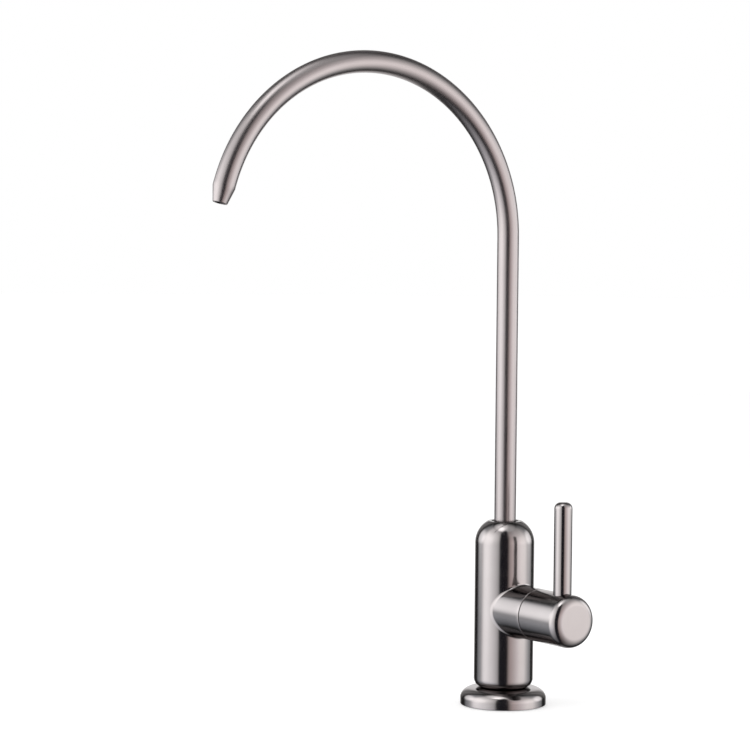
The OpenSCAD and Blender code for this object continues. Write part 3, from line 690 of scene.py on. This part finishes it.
clampNut = {"across": 17.5, "high": -24.1, "low": -30.6, "bore": 5.6, "mouth": 6.3, "segments": 96}
connector = {"across": 18.0, "high": -40.0, "gripEnd": -49.6, "mouth": 6.1, "segments": 96,
             "below": [(8.3, -49.6), (7.95, -49.75), (7.8, -50.1), (7.8, -74.2), (7.7, -74.6), (7.4, -74.87),
                       (7.05, -74.95), (5.6, -74.95), (5.35, -74.7), (5.35, -65.4), (3.25, -65.4),
                       (3.25, -55.4), (2.4, -55.4), (2.4, -53.2), (5.6, -53.2), (5.6, -40.5)]}


def makeNut():
    bm = bmesh.new()
    high, low, bore, mouth = (clampNut[k] for k in ("high", "low", "bore", "mouth"))
    lead = mouth - bore
    sides = hexagonSides(clampNut["across"], high, low)
    loftRings(bm, clampNut["segments"],
              [roundRing(mouth, high), *sides, roundRing(mouth, low), roundRing(bore, low + lead),
               roundRing(bore, high - lead)])
    return finishPiece("clamp_nut_chamfered", bm, "brass", "tap", ["clamp_nut"], creaseAngle=25)


def makeConnector():
    bm = bmesh.new()
    high = connector["high"]
    sides = hexagonSides(connector["across"], high, connector["gripEnd"])
    below = [roundRing(r, z) for r, z in connector["below"]]
    loftRings(bm, connector["segments"], [roundRing(connector["mouth"], high), *sides, *below])
    return finishPiece("inlet_connector_moulded", bm, "acetal", "tap", ["inlet_connector"], creaseAngle=25)


for make in (makeFlange, makeBody, makeBranch, makeHub, makeLever, makeSpout, makeBush, makeShank,
             makeLockWasher, makeNut, makeConnector):
    piece = make()
    print("modelled", piece.name, len(piece.data.polygons), "faces")
for name in rings:
    print("modelled", makeRing(name).name)


# CAD nodes that stay get their slot's finish

shown = [node for node in nodes.values() if not node.hide_render]
for node in shown:
    slot = node.data.materials[0].name.split(".")[0]
    node.data.materials[0] = finishes[slot]
print("CAD nodes with a finish:", len(shown))


# studio: lit screens with a dark slit between them, dark walls with a lamp overhead, pale worktop

studio = {"screenRadius": 1.0, "screenSteps": (60, 40), "wallRadius": 2.4, "wallSegments": (64, 32),
          "cameraAzimuth": -36.6, "secondMirror": 0.18}   # metal mirrored in metal is dimmer
rampLevel = 0.5   # ramps hold half of a level, because a ramp ends at 1


def emitting(name):
    mat, tree = newTree(name)
    out = tree.nodes.new("ShaderNodeOutputMaterial")
    glow = tree.nodes.new("ShaderNodeEmission")
    tree.links.new(glow.outputs[0], out.inputs[0])
    mat.cycles.emission_sampling = "NONE"
    path = tree.nodes.new("ShaderNodeLightPath")
    first = spread(tree, path.outputs["Glossy Depth"], 1.0, studio["secondMirror"], 1, 2)
    return mat, tree, glow, first


def aim(azimuth, elevation):
    # a direction from the tap, with azimuth counted from the camera and positive to the right
    a, e = radians(studio["cameraAzimuth"] + azimuth), radians(elevation)
    return Vector((cos(a) * cos(e), sin(a) * cos(e), sin(e)))


def nearness(tree, direction, wide, tight, blend="SMOOTHSTEP"):
    # 0 beyond the angle wide from a direction, 1 within tight
    unit = vectorNode(tree, "NORMALIZE", objectCoords(tree))
    fade = tree.nodes.new("ShaderNodeMapRange")
    fade.interpolation_type = blend
    fade.inputs["From Min"].default_value = cos(radians(wide))
    fade.inputs["From Max"].default_value = cos(radians(tight))
    tree.links.new(vectorNode(tree, "DOT_PRODUCT", unit, direction), fade.inputs["Value"])
    return fade.outputs[0]


def asStage(name, bm, mat):
    mesh = bpy.data.meshes.new(name)
    bm.to_mesh(mesh)
    bm.free()
    mesh.materials.append(mat)
    obj = bpy.data.objects.new(name, mesh)
    scene.collection.objects.link(obj)
    return obj


def onlyMirrored(obj):
    # seen in the metal, and neither in the picture nor as light on the floor
    obj.visible_camera = obj.visible_diffuse = obj.visible_shadow = obj.visible_volume_scatter = False


# screens: colours across by azimuth, levels up by elevation, and hotter places as direction, reach and level

screens = {
    "left_screen": {
        "from": -127, "to": -17, "low": -80, "high": 60,
        "glows": [((-76, 14), (34, 4), 0.28), ((-110, 17), (25, 6), 0.62)],
        "across": [(-127, 0.03), (-118, (0.21, 0.22, 0.23)), (-102, (0.37, 0.38, 0.39)), (-92, 0.60),
                   (-85, 0.86), (-74, 0.92), (-50, 0.88), (-34, 0.66), (-23, 0.45), (-17.4, 0.06)],
        "up": [(-80, (0.058, 0.060, 0.064)), (-60, (0.195, 0.200, 0.212)), (-45, (0.363, 0.370, 0.390)),
               (-30, (0.58, 0.59, 0.62)), (-15, (0.90, 0.91, 0.94)), (-6, (0.96, 0.96, 0.97)), (2, 0.98),
               (12, 1.05), (25, 1.13), (38, 1.07), (50, 0.81), (60, 0.66)]},
    "right_screen": {
        "from": 13, "to": 129, "low": -80, "high": 60,
        "glows": [((113, 16), (23, 5), 0.66), ((34, 50), (24, 8), 0.11)],
        "across": [(13.4, (0.06, 0.05, 0.05)), (20, (0.31, 0.27, 0.26)), (26, (0.45, 0.38, 0.37)),
                   (42, (0.59, 0.54, 0.54)), (58, (0.80, 0.76, 0.76)), (68, (0.91, 0.88, 0.87)),
                   (86, (0.90, 0.88, 0.87)), (97, 0.63), (113, (0.33, 0.34, 0.35)),
                   (124, (0.22, 0.23, 0.235)), (129, 0.05)],
        "up": [(-80, 0.06), (-60, 0.20), (-45, 0.38), (-30, 0.60), (-15, 0.90), (-8, 1.0), (8, 1.2),
               (25, 1.03), (38, 0.69), (50, 0.48), (60, 0.36)]},
    "front_flag": {
        "from": -17, "to": 13, "low": -80, "high": 66, "arch": (3, 0.042), "glows": [],
        "across": [(-17, (0.012, 0.012, 0.0155)), (13, (0.0135, 0.0125, 0.0155))],
        "up": [(-80, 1.0), (66, 1.0)]},
    "rear_screen": {
        "centre": 180, "from": -27, "to": 27, "low": -80, "high": 60, "glows": [],
        "across": [(-27, 0.10), (-20, 0.30), (-11, 0.74), (11, 0.74), (20, 0.30), (27, 0.10)],
        "up": [(-80, 0.06), (-60, 0.20), (-45, 0.40), (-30, 0.65), (-15, 0.95), (10, 1.0), (24, 0.88),
               (36, 0.45), (48, 0.20), (60, 0.12)]},
}


def bearings(tree, centre):
    # azimuth from a screen's centre and elevation of a place on it, in degrees
    turn = tree.nodes.new("ShaderNodeMapping")
    turn.inputs["Rotation"].default_value = (0, 0, radians(-studio["cameraAzimuth"] - centre))
    tree.links.new(objectCoords(tree), turn.inputs["Vector"])
    part = tree.nodes.new("ShaderNodeSeparateXYZ")
    tree.links.new(turn.outputs[0], part.inputs[0])
    azimuth = mathNode(tree, "ARCTAN2", part.outputs["Y"], part.outputs["X"])
    height = mathNode(tree, "DIVIDE", part.outputs["Z"], studio["screenRadius"])
    elevation = mathNode(tree, "ARCSINE", height)
    return mathNode(tree, "DEGREES", azimuth), mathNode(tree, "DEGREES", elevation)


def gradient(tree, value, stops):
    # a ramp whose stops are placed in degrees
    low, high = stops[0][0], stops[-1][0]
    share = spread(tree, value, 0, 1, low, high)
    placed = []
    for at, level in stops:
        colour = level if isinstance(level, tuple) else (level, level, level)
        placed.append(((at - low) / (high - low), Vector(colour) * rampLevel))
    return shades(tree, share, placed)


def bendTop(bm, s):
    # brings the top edge down to either side of its peak
    peak, drop = s["arch"]
    for v in bm.verts:
        azimuth = degrees(atan2(v.co.y, v.co.x)) - studio["cameraAzimuth"]
        elevation = degrees(asin(v.co.z / studio["screenRadius"]))
        share = (elevation - s["low"]) / (s["high"] - s["low"])
        v.co = aim(azimuth, elevation - share * drop * (azimuth - peak) ** 2) * studio["screenRadius"]


def makeScreen(name):
    s = screens[name]
    bm = bmesh.new()
    centre = s.get("centre", 0)
    across, up = studio["screenSteps"]
    tip = bm.verts.new(aim(centre + s["from"], s["low"]) * studio["screenRadius"])
    side = aim(centre + s["from"], 0).cross(Vector((0, 0, 1)))
    bmesh.ops.spin(bm, geom=[tip], cent=(0, 0, 0), axis=side, dvec=(0, 0, 0),
                   angle=radians(s["high"] - s["low"]), steps=up, use_merge=False)
    bmesh.ops.spin(bm, geom=bm.verts[:] + bm.edges[:], cent=(0, 0, 0), axis=(0, 0, 1), dvec=(0, 0, 0),
                   angle=radians(s["to"] - s["from"]), steps=across, use_merge=False)
    if "arch" in s:
        bendTop(bm, s)
    mat, tree, glow, first = emitting(name)
    tree.links.new(first, glow.inputs["Strength"])
    azimuth, elevation = bearings(tree, centre)
    added = 0.0
    for towards, reach, level in s["glows"]:
        lit = mathNode(tree, "MULTIPLY", nearness(tree, aim(*towards), *reach), level)
        added = mathNode(tree, "ADD", lit, added)
    sideways, upwards = gradient(tree, azimuth, s["across"]), gradient(tree, elevation, s["up"])
    both = vectorNode(tree, "MULTIPLY", sideways, upwards)
    full = Vector((1, 1, 1)) / rampLevel ** 2
    colour = vectorNode(tree, "MULTIPLY_ADD", both, full, added if s["glows"] else (0, 0, 0))
    tree.links.new(colour, glow.inputs["Color"])
    obj = asStage(name, bm, mat)
    onlyMirrored(obj)
    return obj


# what shows between and above the screens: direction, reach (wide, tight) and level

walls = {"top_lamp": ((-35, 71), (17, 3), 1.70), "top_spread": ((-45, 76), (28, 4), 0.95),
         "top_fill": ((35, 66), (36, 12), 0.40), "rear": ((180, 22), (48, 26), 0.22)}
wallLevel = 0.014   # everywhere else


def makeWalls():
    bm = bmesh.new()
    around, up = studio["wallSegments"]
    bmesh.ops.create_uvsphere(bm, u_segments=around, v_segments=up, radius=studio["wallRadius"])
    mat, tree, glow, first = emitting("studio_walls")
    total = wallLevel
    for towards, reach, level in walls.values():
        lit = mathNode(tree, "MULTIPLY", nearness(tree, aim(*towards), *reach, "LINEAR"), level)
        total = mathNode(tree, "MAXIMUM", lit, total)
    tree.links.new(mathNode(tree, "MULTIPLY", total, first), glow.inputs["Strength"])
    obj = asStage("studio_walls", bm, mat)
    onlyMirrored(obj)
    return obj


# worktop with a hole for the shank

worktop = {"hole": 0.01875, "rings": (0.08, 0.4, 6.0), "segments": 64, "shade": (0.90, 0.90, 0.90, 1),
           "roughness": 0.9, "lift": 0.34}   # the lift brings the lit worktop up to white


def makeFloor():
    bm = bmesh.new()
    bmesh.ops.create_circle(bm, cap_ends=False, segments=worktop["segments"], radius=worktop["hole"])
    ring = bm.edges[:]
    for size in worktop["rings"]:
        ring = nextRing(bm, ring)
        for v in alongRing(ring):
            v.co = v.co.normalized() * size
    bmesh.ops.recalc_face_normals(bm, faces=bm.faces[:])
    mat, tree, shader = newFinish("pale_worktop", roughness=worktop["roughness"])
    shader.inputs["Base Color"].default_value = worktop["shade"]
    shader.inputs["Emission Color"].default_value = (1, 1, 1, 1)
    path = tree.nodes.new("ShaderNodeLightPath")
    lift = spread(tree, path.outputs["Is Camera Ray"], 0, worktop["lift"], 0, 1)
    tree.links.new(lift, shader.inputs["Emission Strength"])
    obj = asStage("worktop", bm, mat)
    obj.visible_glossy = False   # the metal mirrors the screens, as on a raised stand
    return obj


lamps = {"left_lamp": {"towards": (-70, 38), "away": 1.5, "size": 0.9, "watts": 4.5},
         "right_lamp": {"towards": (85, 34), "away": 1.5, "size": 0.9, "watts": 3.5}}
lampAim = Vector((0, 0, 0.1))   # just above the body


def makeLamp(name):
    spec = lamps[name]
    light = bpy.data.lights.new(name, "AREA")
    light.energy = spec["watts"]
    light.size = spec["size"]
    obj = bpy.data.objects.new(name, light)
    scene.collection.objects.link(obj)
    obj.location = aim(*spec["towards"]) * spec["away"] + lampAim
    obj.rotation_euler = (lampAim - obj.location).to_track_quat("-Z", "Y").to_euler()
    obj.visible_camera = obj.visible_glossy = False
    return obj


air = {"asLight": 0.76, "asBackground": 1.0}


def makeWorld():
    world = bpy.data.worlds.new("studio_air")
    scene.world = world
    world.use_nodes = True
    tree = world.node_tree
    tree.nodes.clear()
    out = tree.nodes.new("ShaderNodeOutputWorld")
    sky = tree.nodes.new("ShaderNodeBackground")
    path = tree.nodes.new("ShaderNodeLightPath")
    seen = path.outputs["Is Camera Ray"]
    for kind in ("Is Glossy Ray", "Is Transmission Ray"):
        seen = mathNode(tree, "MAXIMUM", seen, path.outputs[kind])
    sky.inputs["Color"].default_value = (1, 1, 1, 1)
    strength = spread(tree, seen, air["asLight"], air["asBackground"], 0, 1)
    tree.links.new(strength, sky.inputs["Strength"])
    tree.links.new(sky.outputs[0], out.inputs[0])


makeWorld()
makeFloor()
makeWalls()
for name in screens:
    makeScreen(name)
for name in lamps:
    makeLamp(name)
print("studio ready")


# camera, with its place in millimetres and its angles in degrees

view = {"at": (1128.1, -838.3, 255.2), "heading": 146.092, "down": 3.6, "roll": 0.470, "lens": 133.81,
        "sensor": 36, "clip": (0.05, 50)}


def makeCamera():
    cam = bpy.data.cameras.new("camera")
    cam.lens = view["lens"]
    cam.sensor_width = view["sensor"]
    cam.clip_start, cam.clip_end = view["clip"]
    obj = bpy.data.objects.new("camera", cam)
    scene.collection.objects.link(obj)
    h, d, roll = (radians(view[k]) for k in ("heading", "down", "roll"))
    ahead = Vector((cos(h) * cos(d), sin(h) * cos(d), -sin(d)))
    right = Vector((sin(h), -cos(h), 0))
    up = right.cross(ahead)
    right, up = right * cos(roll) + up * sin(roll), up * cos(roll) - right * sin(roll)
    obj.matrix_world = Matrix((right, up, -ahead)).transposed().to_4x4()
    obj.location = Vector(view["at"]) * mm
    scene.camera = obj


makeCamera()
scene.view_settings.view_transform = "Standard"
print("camera set")
